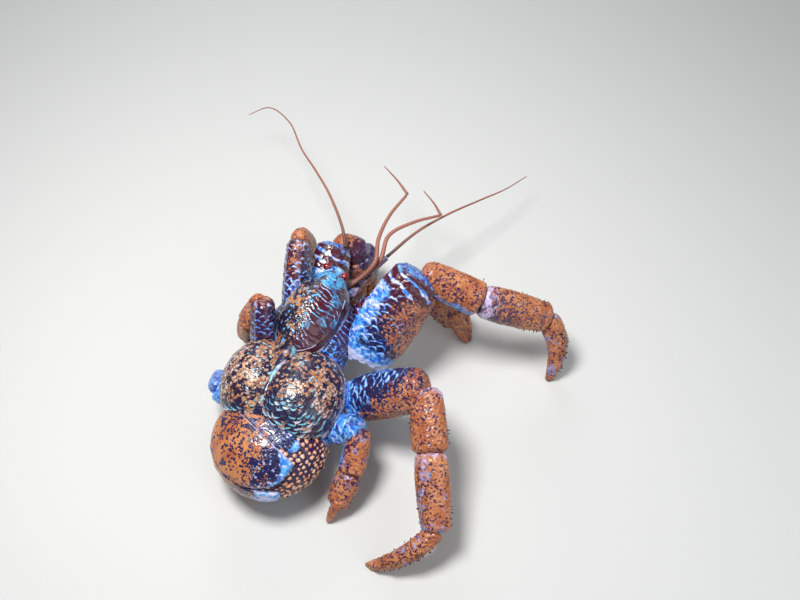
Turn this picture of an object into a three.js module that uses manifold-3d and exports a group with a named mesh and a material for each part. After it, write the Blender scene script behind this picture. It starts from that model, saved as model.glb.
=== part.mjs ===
// A coconut crab (Birgus latro), life size, standing on a level floor: a still museum model.
// Millimetres, +Z up, the head towards -Y and the crab's own right side towards -X.
// The shell plates, the soft belly and every segment of every limb are separate solids that
// meet face to face with a thin gap.

import * as THREE from "three";
import { mergeVertices } from "three/addons/utils/BufferGeometryUtils.js";
import Module from "manifold-3d";

const wasm = await Module();
wasm.setup();

// Driving dimensions

const GAP = 0.3; // between pieces that touch
const FLOOR_Z = 0;
const FINE = 0.14; // edges shorter than this are folded away after a cut

// The carapace leans a little: its own frame sits here, in the middle of the back.
const CARAPACE = {
  origin: [4, -12, 46],
  yaw: 8, // degrees, head towards the crab's left
  pitch: 5, // degrees, head up
  roll: -3, // degrees, left side up
};

const GILL_DOME = { back: 25, down: 4, turn: 6, gapFromMidline: 1.5 };
const GILL_DOME_SIDES = {
  right: { half: [26, 32, 27], side: 15 },
  left: { half: [23, 29, 25], side: 12 },
};
const MIDLINE_CUT = { half: [14, 46, 44], up: 6 }; // what a gill dome leaves to the heart strip
const SHIELD = { half: [20, 36, 24], back: -27 };
const HEART_STRIP = { half: [9, 34, 19.5], back: 22 };
const CHEEK = { half: [13, 32, 16], side: 15, back: -18, down: 8, turn: 9 };
const ROSTRUM = { root: [0, -50, 8], tip: [0, -63, 4], width: 7, depth: 3.5 };
const THORAX = { half: [20, 46, 14], at: [0, -2, -17] };
const HIP_LOBE = [10, 11, 10];

// The soft belly is one plump bag, curled under; its plates are shells over its back.
const BELLY = { at: [-10, 37, 27.5], half: [34, 32, 24], turn: -14 };
const PLATE_THICKNESS = 2.6;
const SLICE_REACH = 70; // well past the belly's skin
// An oval rounds off each plate's corners, more at the rear; its middle is this far along.
const PLATE_CORNERS = { middle: 0.33, length: 1.67, depth: 40 };
const WARTS = {
  count: 24, // on each side
  reach: 41, // degrees round the side's middle
  radius: 2.3,
  proud: 1.2,
  vary: 0.2, // of the radius
  flatter: 0.25,
  sunk: 0.6, // of the radius
};
const SPIKE = { radius: 0.9, length: 2.2, sunk: 1.2 };
const TOE_SPIKES = { angles: [70, -110], from: 0.15, span: 0.68, shorter: 0.4 };
const END_SPIKES = { at: 0.9, fromAngle: 40, spanAngle: 100 };

// Each plate over the belly spans these degrees round the curl, from straight up to the rear,
// and stands out by a little more or less than the next one.
const PLATES = {
  tergite_2: { from: -16, to: 12, halfWidth: 24, proud: 0.2 },
  tergite_3: { from: 14, to: 76, halfWidth: 29, proud: 0.9 },
  tergite_4: { from: 78, to: 110, halfWidth: 31, proud: 0.3 },
  tergite_5: { from: 112, to: 152, halfWidth: 24, proud: 0 },
  tail: { from: 154, to: 206, halfWidth: 15, proud: 1.9 },
};

// Where each limb leaves the thorax, then its joints out to the tip. Half sizes are
// [thickness, depth] in the plane that the limb bends in.
const LIMBS = {
  claw_right: {
    hip: [-6, -54, 28],
    joints: { arm: [-25, -84, 42], wrist: [-42, -100, 40], palm: [-62, -104, 17] },
    half: { arm: [8, 11], wrist: [9, 10], palm: [8, 12] },
    finger: { tip: [-72, -101, 0], half: [5.5, 6], beside: [0, 4, 3] },
  },
  claw_left: {
    hip: [17, -54, 28],
    joints: { arm: [27, -94, 51], wrist: [16, -104, 39], palm: [11, -102, 17] },
    half: { arm: [12, 15], wrist: [9.5, 10.5], palm: [10, 15] },
    finger: { tip: [6, -94, 0], half: [5, 6], beside: [2, 4, 3] },
  },
  leg2_right: {
    hip: [-29, -31, 30],
    joints: {
      merus: [-42, -86, 74],
      carpus: [-79, -95, 60],
      propodus: [-118, -118, 40],
      dactyl: [-132, -100, -1],
    },
    half: { merus: [12, 20], carpus: [9, 11.5], propodus: [8, 11.5], dactyl: [6, 7.5] },
    bend: [-11, -5, 4],
    spikes: { dactyl: 7, carpus: 3, propodus: 3 },
  },
  leg2_left: {
    hip: [18, -25, 30],
    joints: {
      merus: [38, -70, 74],
      carpus: [47, -85, 52],
      propodus: [61, -107, 14],
      dactyl: [64, -116, -1],
    },
    half: { merus: [7.5, 14], carpus: [6, 9], propodus: [6, 9], dactyl: [4, 5] },
    bend: [4, -4, 0],
    spikes: { dactyl: 3 },
  },
  leg3_right: {
    hip: [-31, -6, 28],
    joints: {
      merus: [-80, -24, 60],
      carpus: [-98, 3, 45],
      propodus: [-120, 35, 25],
      dactyl: [-91, 64, -1],
    },
    half: { merus: [10, 14.5], carpus: [9, 11], propodus: [8, 10.5], dactyl: [4.6, 5.8] },
    bend: [-6, 9, 4],
    spikes: { dactyl: 8, carpus: 3, propodus: 3 },
  },
  leg3_left: {
    hip: [21, 0, 28],
    joints: {
      merus: [34, -24, 68],
      carpus: [42, -15, 50],
      propodus: [56, -22, 18],
      dactyl: [51, -28, -1],
    },
    half: { merus: [8, 12], carpus: [6, 8], propodus: [5, 7], dactyl: [4, 5] },
    bend: [3, 0, 0],
    spikes: { dactyl: 4 },
  },
  leg4_right: {
    hip: [-29, 16, 26],
    joints: { merus: [-55, 7, 38], carpus: [-60, 29, 24], palm: [-59, 44, 8] },
    half: { merus: [8, 9], carpus: [7, 8], palm: [5.5, 8] },
    finger: { tip: [-58, 53, 0], half: [2.6, 3.2], beside: [-1, 3, 3] },
  },
  leg4_left: {
    hip: [26, 22, 24],
    joints: { merus: [38, 27, 32], carpus: [45, 14, 22], palm: [43, 6, 8] },
    half: { merus: [7, 8], carpus: [5, 6.5], palm: [4.5, 6] },
    finger: { tip: [41, 1, 0], half: [2.4, 2.8], beside: [-1, 2, 2] },
  },
};

// Feelers, eyes and mouth limbs, from root to tip.
const STALK_RADII = [3.4, 3.4];
const EYE = [2.8, 2.8, 2.8];
const HEAD = {
  right: {
    stalk: [
      [13, -68, 51],
      [10, -75, 56],
    ],
    eye: [5.3, -71, 56.4],
    antennule: [
      [7, -66, 46],
      [0, -77, 49],
      [-7, -88, 60],
      [-1, -103, 65],
      [2, -122, 67],
      [2, -145, 66],
    ],
    flagella: [
      [
        [2, -146, 66],
        [16, -157, 62],
        [34, -169, 57],
      ],
    ],
    antennaBase: [
      [2, -62, 40],
      [0, -84, 44],
      [-8, -101, 52],
    ],
    whip: [
      [-8, -101.5, 52.2],
      [-15, -126, 55],
      [-24, -153, 52],
      [-36, -186, 44],
      [-44, -210, 37],
      [-50, -237, 30],
    ],
    maxilliped: [
      [-3, -54, 26],
      [-2, -70, 30],
      [2, -84, 27],
    ],
  },
  left: {
    stalk: [
      [15, -68, 52],
      [18, -71, 56],
    ],
    eye: [19, -71.8, 57.2],
    antennule: [
      [10, -68, 45],
      [0, -82, 46],
      [-8, -93, 58],
      [-5, -109, 64],
      [-12, -127, 63],
      [-24, -145, 60],
    ],
    flagella: [
      [
        [-24.3, -145.4, 60],
        [-14, -155, 57],
        [0, -166, 52],
      ],
    ],
    antennaBase: [
      [16, -62, 42],
      [19, -84, 50],
      [17, -90, 58],
    ],
    whip: [
      [16.9, -90.5, 58.4],
      [24, -99, 64],
      [47, -119, 66],
      [70, -136, 63],
      [92, -151, 60],
      [123, -177, 54],
      [150, -187, 48],
      [163, -178, 42],
    ],
    maxilliped: [
      [15, -56, 24],
      [14, -72, 26],
      [10, -82, 20],
    ],
  },
};

const SIDES = [
  ["right", -1],
  ["left", 1],
];

const vec = (a) => new THREE.Vector3(...a);
const rad = THREE.MathUtils.degToRad;

const carapaceMatrix = new THREE.Matrix4().compose(
  vec(CARAPACE.origin),
  new THREE.Quaternion().setFromEuler(
    new THREE.Euler(rad(-CARAPACE.pitch), rad(CARAPACE.roll), rad(CARAPACE.yaw), "ZYX"),
  ),
  new THREE.Vector3(1, 1, 1),
);
const PLAIN = new THREE.Matrix4();

const onCarapace = (p) => vec(p).applyMatrix4(carapaceMatrix);

// Solids

function solidOf(geometry) {
  const bare = geometry.clone();
  bare.deleteAttribute("normal");
  bare.deleteAttribute("uv");
  const merged = mergeVertices(bare, 1e-3);
  return new wasm.Manifold(
    new wasm.Mesh({
      numProp: 3,
      vertProperties: merged.attributes.position.array,
      triVerts: new Uint32Array(merged.index.array),
    }),
  );
}

function geometryOf(solid, origin) {
  const mesh = solid.getMesh();
  const position = new Float32Array(mesh.numVert * 3);
  for (let i = 0; i < mesh.numVert; i++) {
    position.set(mesh.vertProperties.subarray(i * mesh.numProp, i * mesh.numProp + 3), i * 3);
  }
  const geometry = new THREE.BufferGeometry();
  geometry.setAttribute("position", new THREE.BufferAttribute(position, 3));
  geometry.setIndex(new THREE.BufferAttribute(mesh.triVerts, 1));
  geometry.translate(-origin.x, -origin.y, -origin.z);
  geometry.computeVertexNormals();
  return geometry;
}

// Moves every vertex of a geometry by a function of its place.
function shaped(geometry, move) {
  const position = geometry.attributes.position;
  const p = new THREE.Vector3();
  for (let i = 0; i < position.count; i++) {
    p.fromBufferAttribute(position, i);
    move(p);
    position.setXYZ(i, p.x, p.y, p.z);
  }
  return geometry;
}

// A rounded lump: a ball with its own half sizes, turned, placed, and swollen by grow.
function lump({ at, half, turn = 0, fine = [18, 12], bend, frame = carapaceMatrix }, grow = 0) {
  const geometry = new THREE.SphereGeometry(1, ...fine);
  geometry.rotateX(Math.PI / 2);
  if (bend) shaped(geometry, bend);
  geometry.scale(half[0] + grow, half[1] + grow, half[2] + grow);
  geometry.rotateZ(rad(turn));
  geometry.translate(...at);
  geometry.applyMatrix4(frame);
  return solidOf(geometry);
}

// A closed tube along a path. Each ring is [share of the length, half thickness, half depth],
// and `flat` is the direction of the thickness.
function tube({ path, flat, rings, sides = 10 }, grow = 0) {
  const last = rings.length - 1;
  const geometry = new THREE.CylinderGeometry(1, 1, last, sides, last);
  geometry.translate(0, last / 2, 0);
  const thin = vec(flat).normalize();
  shaped(geometry, (p) => {
    const ring = Math.round(p.y);
    const [share, across, deep] = rings[ring];
    const along = path.getTangentAt(share);
    const side = thin.clone().addScaledVector(along, -thin.dot(along)).normalize();
    const up = new THREE.Vector3().crossVectors(along, side);
    const end = ring === 0 ? -grow : ring === last ? grow : 0;
    const [x, z] = [p.x * (across + grow), p.z * (deep + grow)];
    p.copy(path.getPointAt(share));
    p.addScaledVector(along, end).addScaledVector(side, x).addScaledVector(up, -z);
  });
  return solidOf(geometry);
}

// The place and outward direction on a tube's surface, at an angle round it from its thickness.
function onTube({ path, flat, rings }, share, angle) {
  const next = Math.max(1, rings.findIndex((ring) => ring[0] >= share));
  const [low, high] = [rings[next - 1], rings[next]];
  const t = (share - low[0]) / (high[0] - low[0]);
  const across = THREE.MathUtils.lerp(low[1], high[1], t);
  const deep = THREE.MathUtils.lerp(low[2], high[2], t);
  const along = path.getTangentAt(share);
  const side = vec(flat).normalize();
  side.addScaledVector(along, -side.dot(along)).normalize();
  const up = new THREE.Vector3().crossVectors(along, side);
  const [x, z] = [Math.cos(rad(angle)), Math.sin(rad(angle))];
  const at = path.getPointAt(share);
  at.addScaledVector(side, x * across).addScaledVector(up, z * deep);
  const out = side.multiplyScalar(x / across).addScaledVector(up, z / deep).normalize();
  return { at, out };
}

// A spike stands on a surface with its root sunk in.
function spike({ at, out }, size, grow) {
  const { radius, length, sunk } = size;
  const geometry = new THREE.ConeGeometry(radius + grow, length + sunk + grow, 5, 1);
  geometry.translate(0, (length - sunk + grow) / 2, 0);
  const turn = new THREE.Quaternion().setFromUnitVectors(new THREE.Vector3(0, 1, 0), out);
  geometry.applyQuaternion(turn);
  geometry.translate(at.x, at.y, at.z);
  return solidOf(geometry);
}

// A toe has a row of spikes along each edge; a shin or knee has them round its far end.
function spikesOn(tubeShape, kind, count, grow) {
  const spikes = [];
  for (let i = 0; i < count; i++) {
    const step = (i + 0.5) / count;
    if (kind === "toe") {
      for (const angle of TOE_SPIKES.angles) {
        const size = { ...SPIKE, length: SPIKE.length * (1 - TOE_SPIKES.shorter * step) };
        const at = TOE_SPIKES.from + TOE_SPIKES.span * step;
        spikes.push(spike(onTube(tubeShape, at, angle), size, grow));
      }
    } else {
      const angle = END_SPIKES.fromAngle + END_SPIKES.spanAngle * step;
      spikes.push(spike(onTube(tubeShape, END_SPIKES.at, angle), SPIKE, grow));
    }
  }
  return spikes;
}

const line = (a, b) => new THREE.LineCurve3(a, b);
const bow = (a, b, push) =>
  new THREE.QuadraticBezierCurve3(a, a.clone().lerp(b, 0.5).add(vec(push)), b);
const through = (points) => new THREE.CatmullRomCurve3(points.map(vec), false, "centripetal");

// A round rod through points, tapering from one radius to the other.
function rod({ points, radii, steps = 8, sides = 6 }, grow = 0) {
  const rings = [];
  for (let i = 0; i <= steps; i++) {
    const radius = THREE.MathUtils.lerp(radii[0], radii[1], i / steps);
    rings.push([i / steps, radius, radius]);
  }
  return tube({ path: through(points), flat: [0.3, 0.2, 1], rings, sides }, grow);
}

function joined(solids) {
  return solids.length === 1 ? solids[0] : wasm.Manifold.union(solids);
}

function largest(solid) {
  return solid.decompose().reduce((a, b) => (b.volume() > a.volume() ? b : a));
}

// Pieces, each trimmed by those that were there before it

const MATERIAL = {};

function finish(name, color, roughness) {
  MATERIAL[name] = new THREE.MeshStandardMaterial({ name, color, roughness, metalness: 0 });
}

finish("shield", 0x4a1f3c, 0.35);
finish("dome", 0x33283f, 0.4);
finish("cheek", 0x2b3f8f, 0.35);
finish("hip", 0xa9cfe0, 0.6);
finish("tergite", 0xb4683a, 0.5);
finish("belly", 0x2c1838, 0.6);
finish("thigh", 0x40348c, 0.4);
finish("limb", 0xb06a48, 0.5);
finish("eye", 0xc01828, 0.15);
finish("stalk", 0x6aa8e0, 0.4);
finish("feeler", 0x8a4038, 0.5);

const crab = new THREE.Group();
crab.name = "coconut_crab";
const made = [];

function section(name) {
  const group = new THREE.Group();
  group.name = name;
  crab.add(group);
  return group;
}

function boxesMeet(a, b) {
  return [0, 1, 2].every((i) => a.min[i] < b.max[i] && b.min[i] < a.max[i]);
}

// build(grow) gives the untrimmed solid, swollen by grow.
function piece(name, group, material, origin, build) {
  let solid = build(0);
  const box = solid.boundingBox();
  for (const other of made) {
    if (boxesMeet(box, other.box)) solid = solid.subtract(other.grown);
  }
  solid = largest(solid.trimByPlane([0, 0, 1], FLOOR_Z).simplify(FINE));
  const grown = build(GAP);
  made.push({ grown, box: grown.boundingBox() });
  const mesh = new THREE.Mesh(geometryOf(solid, origin), material);
  mesh.name = name;
  mesh.position.copy(origin);
  group.add(mesh);
}

// Thorax: the core that carries the plates, with the pale hip lobe of each limb

const body = section("body");

piece("thorax", body, MATERIAL.hip, onCarapace(THORAX.at), (grow) => {
  const hips = Object.values(LIMBS).map(({ hip }) =>
    lump({ at: hip, half: HIP_LOBE, fine: [8, 5], frame: PLAIN }, grow),
  );
  return joined([lump({ ...THORAX, fine: [14, 9] }, grow), ...hips]);
});

// Carapace plates

function narrowToTheFront(p) {
  const front = Math.max(0, -p.y);
  p.x *= 1 - 0.35 * front * front;
  p.z -= 0.12 * front * front;
}

piece("shield", body, MATERIAL.shield, onCarapace([0, SHIELD.back, 0]), (grow) => {
  const plate = lump(
    { at: [0, SHIELD.back, 0], half: SHIELD.half, fine: [18, 12], bend: narrowToTheFront },
    grow,
  );
  const beak = tube(
    {
      path: line(onCarapace(ROSTRUM.root), onCarapace(ROSTRUM.tip)),
      flat: [0, 0, 1],
      rings: [
        [0, ROSTRUM.depth, ROSTRUM.width],
        [0.5, ROSTRUM.depth * 0.8, ROSTRUM.width * 0.6],
        [1, 0.8, 0.8],
      ],
      sides: 8,
    },
    grow,
  );
  return joined([plate, beak]);
});

for (const [side, sign] of SIDES) {
  const { back, down, turn, gapFromMidline } = GILL_DOME;
  const shape = GILL_DOME_SIDES[side];
  const at = [sign * shape.side, back, -down];
  piece(`gill_dome_${side}`, body, MATERIAL.dome, onCarapace(at), (grow) => {
    const dome = lump({ at, half: shape.half, turn: sign * turn, fine: [16, 11] }, grow);
    // The dome stops short of the midline, where the heart strip lies.
    const [across, deep, high] = MIDLINE_CUT.half;
    const middle = [sign * (gapFromMidline - across), back, MIDLINE_CUT.up];
    const beyond = lump({ at: middle, half: [across - grow, deep, high], fine: [10, 6] });
    return dome.subtract(beyond);
  });
}

piece("heart_strip", body, MATERIAL.dome, onCarapace([0, HEART_STRIP.back, 0]), (grow) =>
  lump({ at: [0, HEART_STRIP.back, 0], half: HEART_STRIP.half, fine: [10, 8] }, grow),
);

for (const [side, sign] of SIDES) {
  const at = [sign * CHEEK.side, CHEEK.back, -CHEEK.down];
  piece(`cheek_${side}`, body, MATERIAL.cheek, onCarapace(at), (grow) =>
    lump({ at, half: CHEEK.half, turn: -sign * CHEEK.turn, fine: [12, 8] }, grow),
  );
}

// Belly and its plates

const belly = section("belly");
const BELLY_FINE = [20, 14];

// A slice of the space round the belly's curl, between two angles from straight up to the rear.
function slice({ from, to, halfWidth }, grow) {
  const outline = new THREE.Shape();
  outline.moveTo(0, 0);
  outline.lineTo(SLICE_REACH * Math.sin(rad(from)), SLICE_REACH * Math.cos(rad(from)));
  outline.absarc(0, 0, SLICE_REACH, rad(90 - from), rad(90 - to), true);
  const geometry = new THREE.ExtrudeGeometry(outline, {
    depth: 2 * (halfWidth + grow),
    bevelEnabled: false,
    curveSegments: 6,
  });
  geometry.translate(0, 0, -halfWidth - grow);
  const toYZ = new THREE.Matrix4().makeBasis(vec([0, 1, 0]), vec([0, 0, 1]), vec([1, 0, 0]));
  geometry.applyMatrix4(toYZ);
  geometry.rotateZ(rad(BELLY.turn));
  geometry.translate(...BELLY.at);
  return solidOf(geometry);
}

// An oval block over the middle of a plate, which rounds off the plate's corners.
function corners({ from, to, halfWidth }, grow) {
  const middle = rad(THREE.MathUtils.lerp(from, to, PLATE_CORNERS.middle));
  const [, deep, high] = BELLY.half;
  const reach = 1 / Math.hypot(Math.sin(middle) / deep, Math.cos(middle) / high);
  const halfLength = reach * rad((to - from) / 2);
  const place = new THREE.Matrix4().makeTranslation(vec(BELLY.at));
  place.multiply(new THREE.Matrix4().makeRotationZ(rad(BELLY.turn)));
  place.multiply(new THREE.Matrix4().makeRotationX(-middle));
  const half = [halfWidth, halfLength * PLATE_CORNERS.length, PLATE_CORNERS.depth];
  return lump({ at: [0, 0, reach], half, fine: [24, 16], frame: place }, grow);
}

// Round warts on one soft side of the belly, spread evenly like seeds in a sunflower.
function warts(sign, grow) {
  const golden = Math.PI * (3 - Math.sqrt(5));
  const lumps = [];
  for (let i = 0; i < WARTS.count; i++) {
    const share = (i + 0.5) / WARTS.count;
    const x = 1 - share * (1 - Math.cos(rad(WARTS.reach)));
    const round = Math.sqrt(1 - x * x);
    const angle = i * golden;
    const direction = new THREE.Vector3(sign * x, round * Math.cos(angle), round * Math.sin(angle));
    const at = direction.multiply(vec(BELLY.half));
    const radius = WARTS.radius * (1 - WARTS.vary * (1 - Math.sin(5 * i))) + grow;
    const geometry = new THREE.IcosahedronGeometry(radius);
    geometry.scale(1 - WARTS.flatter * x, 1, 1);
    geometry.translate(at.x + sign * (WARTS.proud - WARTS.radius * WARTS.sunk), at.y, at.z);
    geometry.rotateZ(rad(BELLY.turn));
    geometry.translate(...BELLY.at);
    lumps.push(solidOf(geometry));
  }
  return lumps;
}

piece("abdomen", belly, MATERIAL.belly, vec(BELLY.at), (grow) =>
  joined([
    lump({ ...BELLY, fine: BELLY_FINE, frame: PLAIN }, grow),
    ...warts(-1, grow),
    ...warts(1, grow),
  ]),
);

for (const [name, plate] of Object.entries(PLATES)) {
  const thickness = PLATE_THICKNESS + plate.proud;
  piece(name, belly, MATERIAL.tergite, vec(BELLY.at), (grow) => {
    const outer = lump({ ...BELLY, fine: BELLY_FINE, frame: PLAIN }, thickness + grow);
    const inner = lump({ ...BELLY, fine: BELLY_FINE, frame: PLAIN }, GAP - grow);
    return outer.subtract(inner).intersect(slice(plate, grow)).intersect(corners(plate, grow));
  });
}

// Limbs

// Rings of each kind of segment, as shares of its own half sizes. The ends stay wide, so that
// each segment fits closely into the next.
const RINGS = {
  thigh: [
    [0, 0.5, 0.5],
    [0.1, 0.75, 0.72],
    [0.3, 0.96, 0.95],
    [0.55, 1, 1],
    [0.8, 0.97, 0.93],
    [0.95, 0.86, 0.8],
    [1, 0.62, 0.58],
  ],
  knee: [
    [0, 0.66, 0.6],
    [0.1, 0.88, 0.84],
    [0.4, 0.97, 0.95],
    [0.72, 1, 1],
    [0.95, 0.97, 0.97],
    [1, 0.82, 0.82],
  ],
  shin: [
    [0, 0.76, 0.76],
    [0.07, 0.93, 0.93],
    [0.35, 1, 1],
    [0.65, 0.98, 0.96],
    [0.94, 0.86, 0.84],
    [1, 0.66, 0.62],
  ],
  toe: [
    [0, 0.85, 0.85],
    [0.1, 1, 1],
    [0.35, 0.92, 0.9],
    [0.6, 0.77, 0.75],
    [0.84, 0.53, 0.52],
    [1, 0.22, 0.22],
  ],
};

const KIND = {
  arm: "thigh",
  merus: "thigh",
  wrist: "knee",
  carpus: "knee",
  palm: "shin",
  propodus: "shin",
  dactyl: "toe",
};

function ringsOf(kind, [across, deep]) {
  return RINGS[kind].map(([share, a, d]) => [share, a * across, d * deep]);
}

for (const [name, limb] of Object.entries(LIMBS)) {
  const group = section(name);
  const joints = [limb.hip, ...Object.values(limb.joints)].map(vec);
  const tip = limb.finger ? vec(limb.finger.tip) : joints[joints.length - 1];
  const toKnee = joints[1].clone().sub(joints[0]);
  const toTip = tip.clone().sub(joints[0]);
  const flat = toKnee.clone().cross(toTip).toArray();
  Object.keys(limb.joints).forEach((segment, i) => {
    const [a, b] = [joints[i], joints[i + 1]];
    const kind = KIND[segment];
    const path = kind === "toe" ? bow(a, b, limb.bend) : line(a, b);
    const rings = ringsOf(kind, limb.half[segment]);
    const material = kind === "thigh" ? MATERIAL.thigh : MATERIAL.limb;
    piece(`${name}_${segment}`, group, material, a, (grow) => {
      const parts = [tube({ path, flat, rings }, grow)];
      parts.push(...spikesOn({ path, flat, rings }, kind, limb.spikes?.[segment] ?? 0, grow));
      if (segment === "palm") parts.push(fixedFinger(b, limb.finger, flat, grow));
      return joined(parts);
    });
  });
  if (limb.finger) {
    const root = joints[joints.length - 1].clone().sub(vec(limb.finger.beside));
    const end = tip.clone().sub(vec(limb.finger.beside).multiplyScalar(0.3));
    piece(`${name}_finger`, group, MATERIAL.limb, root, (grow) =>
      tube({ path: line(root, end), flat, rings: ringsOf("toe", limb.finger.half), sides: 8 }, grow),
    );
  }
}

function fixedFinger(palmEnd, { tip, half, beside }, flat, grow) {
  const root = palmEnd.clone().add(vec(beside));
  const end = vec(tip).add(vec(beside).multiplyScalar(0.3));
  const back = root.clone().lerp(end, -0.4);
  return tube({ path: line(back, end), flat, rings: ringsOf("toe", half), sides: 8 }, grow);
}

// Head: eyes, feelers and mouth limbs

const head = section("head");

for (const [side] of SIDES) {
  const parts = HEAD[side];
  const add = (name, material, points, radii, more = {}) =>
    piece(name, head, material, vec(points[0]), (grow) => rod({ points, radii, ...more }, grow));

  add(`eyestalk_${side}`, MATERIAL.stalk, parts.stalk, STALK_RADII, { steps: 3, sides: 8 });
  piece(`eye_${side}`, head, MATERIAL.eye, vec(parts.eye), (grow) =>
    lump({ at: parts.eye, half: EYE, fine: [8, 6], frame: PLAIN }, grow),
  );
  add(`antennule_${side}_stalk`, MATERIAL.feeler, parts.antennule, [1.9, 1], { steps: 10 });
  piece(`antennule_${side}_flagellum`, head, MATERIAL.feeler, vec(parts.flagella[0][0]), (grow) =>
    joined(parts.flagella.map((points) => rod({ points, radii: [1.1, 0.35], steps: 5 }, grow))),
  );
  add(`antenna_${side}_base`, MATERIAL.limb, parts.antennaBase, [4, 1.8], { steps: 4, sides: 8 });
  add(`antenna_${side}_whip`, MATERIAL.feeler, parts.whip, [1.2, 0.3], { steps: 20 });
  add(`maxilliped_${side}`, MATERIAL.limb, parts.maxilliped, [5, 2.5], { steps: 4, sides: 8 });
}

// The origin is the middle of the crab's box, feelers included, on the floor.

const extent = new THREE.Box3().setFromObject(crab, true);
const middle = extent.getCenter(new THREE.Vector3());
crab.position.set(-middle.x, -middle.y, FLOOR_Z);

export default crab;
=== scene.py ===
"""The looks of the coconut crab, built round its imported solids: one fine skin over the soft parts,
a finely dressed shell over each plate and limb segment, wet eyes and long ringed feelers."""

import itertools
import math

import bmesh
import bpy
import numpy as np
from mathutils import Euler, Matrix, Vector


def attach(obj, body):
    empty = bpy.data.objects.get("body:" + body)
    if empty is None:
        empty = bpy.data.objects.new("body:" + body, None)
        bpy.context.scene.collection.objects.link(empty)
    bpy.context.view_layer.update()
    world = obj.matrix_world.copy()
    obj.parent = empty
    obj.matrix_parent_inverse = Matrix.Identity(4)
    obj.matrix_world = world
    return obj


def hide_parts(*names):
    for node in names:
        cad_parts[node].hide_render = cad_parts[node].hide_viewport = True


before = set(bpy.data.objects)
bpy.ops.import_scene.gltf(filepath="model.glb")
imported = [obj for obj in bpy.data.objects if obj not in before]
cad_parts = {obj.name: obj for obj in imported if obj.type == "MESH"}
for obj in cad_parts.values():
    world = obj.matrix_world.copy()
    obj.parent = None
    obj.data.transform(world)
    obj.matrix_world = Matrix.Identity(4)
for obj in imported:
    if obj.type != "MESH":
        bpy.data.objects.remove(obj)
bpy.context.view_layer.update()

# Sizes are in millimetres up to the point where a mesh is written, and then in metres.
MM = 0.001

# The part's own origin is under the middle of its box; the sizes below are from before that shift.
SHIFT = np.array((-13.047, 82.544, 0.0))

# Where the carapace's own frame stands, and how it is turned, in degrees.
CARAPACE = {"origin": (4, -12, 46), "yaw": 8, "pitch": 5, "roll": -3}

# On the carapace: half the width and half the length, and how far across or back the middle lies.
SHIELD = {"half": (20, 36), "back": -27}
DOME = {"right": {"half": (26, 32), "across": -15}, "left": {"half": (23, 29), "across": 12}}
DOME_BACK = 25

# The belly: its middle, half its size along its own axes, and how it is turned, in degrees.
BELLY = {"at": (-10, 37, 27.5), "half": (34, 32, 24), "turn": -14}

# Each plate over the belly: the degrees it spans, from straight up to the rear, and half its width.
PLATES = {
    "tergite_2": (-16, 12, 24),
    "tergite_3": (14, 76, 29),
    "tergite_4": (78, 110, 31),
    "tergite_5": (112, 152, 24),
    "tail": (154, 206, 15),
}
# How far the plates lie from the belly's middle, on average.
PLATE_RADIUS = 29
# The plates whose blue lobe has a straight edge: where across the plate it starts and is whole.
STRAIGHT_LOBES = {"tergite_2": (-0.76, -0.9), "tergite_4": (-0.5, -0.72)}

# The belly's warts: the angles of their rows, how many go round half of the middle row, how far
# each strays from its place in degrees and in radians, and its size as a share of the belly's.
WARTS = {
    "leans": range(-60, 61, 6),
    "round half the middle": 27,
    "tilt": 1.2,
    "turn": 0.03,
    "size": (0.034, 0.05),
}

# Each limb from its hip: the end of each segment, then its half thickness and half depth.
LIMBS = {
    "claw_right": dict(
        hip=(-6, -54, 28), arm=((-25, -84, 42), (8, 11)), wrist=((-42, -100, 40), (9, 10)),
        palm=((-62, -104, 17), (8, 12)), finger=((-72, -101, 0), (5.5, 6)),
    ),
    "claw_left": dict(
        hip=(17, -54, 28), arm=((27, -94, 51), (12, 15)), wrist=((16, -104, 39), (9.5, 10.5)),
        palm=((11, -102, 17), (10, 15)), finger=((6, -94, 0), (5, 6)),
    ),
    "leg2_right": dict(
        hip=(-29, -31, 30), merus=((-42, -86, 74), (12, 20)), carpus=((-79, -95, 60), (9, 11.5)),
        propodus=((-118, -118, 40), (8, 11.5)), dactyl=((-132, -100, -1), (6, 7.5)),
    ),
    "leg2_left": dict(
        hip=(18, -25, 30), merus=((38, -70, 74), (7.5, 14)), carpus=((47, -85, 52), (6, 9)),
        propodus=((61, -107, 14), (6, 9)), dactyl=((64, -116, -1), (4, 5)),
    ),
    "leg3_right": dict(
        hip=(-31, -6, 28), merus=((-80, -24, 60), (10, 14.5)), carpus=((-98, 3, 45), (9, 11)),
        propodus=((-120, 35, 25), (8, 10.5)), dactyl=((-91, 64, -1), (4.6, 5.8)),
    ),
    "leg3_left": dict(
        hip=(21, 0, 28), merus=((34, -24, 68), (8, 12)), carpus=((42, -15, 50), (6, 8)),
        propodus=((56, -22, 18), (5, 7)), dactyl=((51, -28, -1), (4, 5)),
    ),
    "leg4_right": dict(
        hip=(-29, 16, 26), merus=((-55, 7, 38), (8, 9)), carpus=((-60, 29, 24), (7, 8)),
        palm=((-59, 44, 8), (5.5, 8)), finger=((-58, 53, 0), (2.6, 3.2)),
    ),
    "leg4_left": dict(
        hip=(26, 22, 24), merus=((38, 27, 32), (7, 8)), carpus=((45, 14, 22), (5, 6.5)),
        palm=((43, 6, 8), (4.5, 6)), finger=((41, 1, 0), (2.4, 2.8)),
    ),
}

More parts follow.
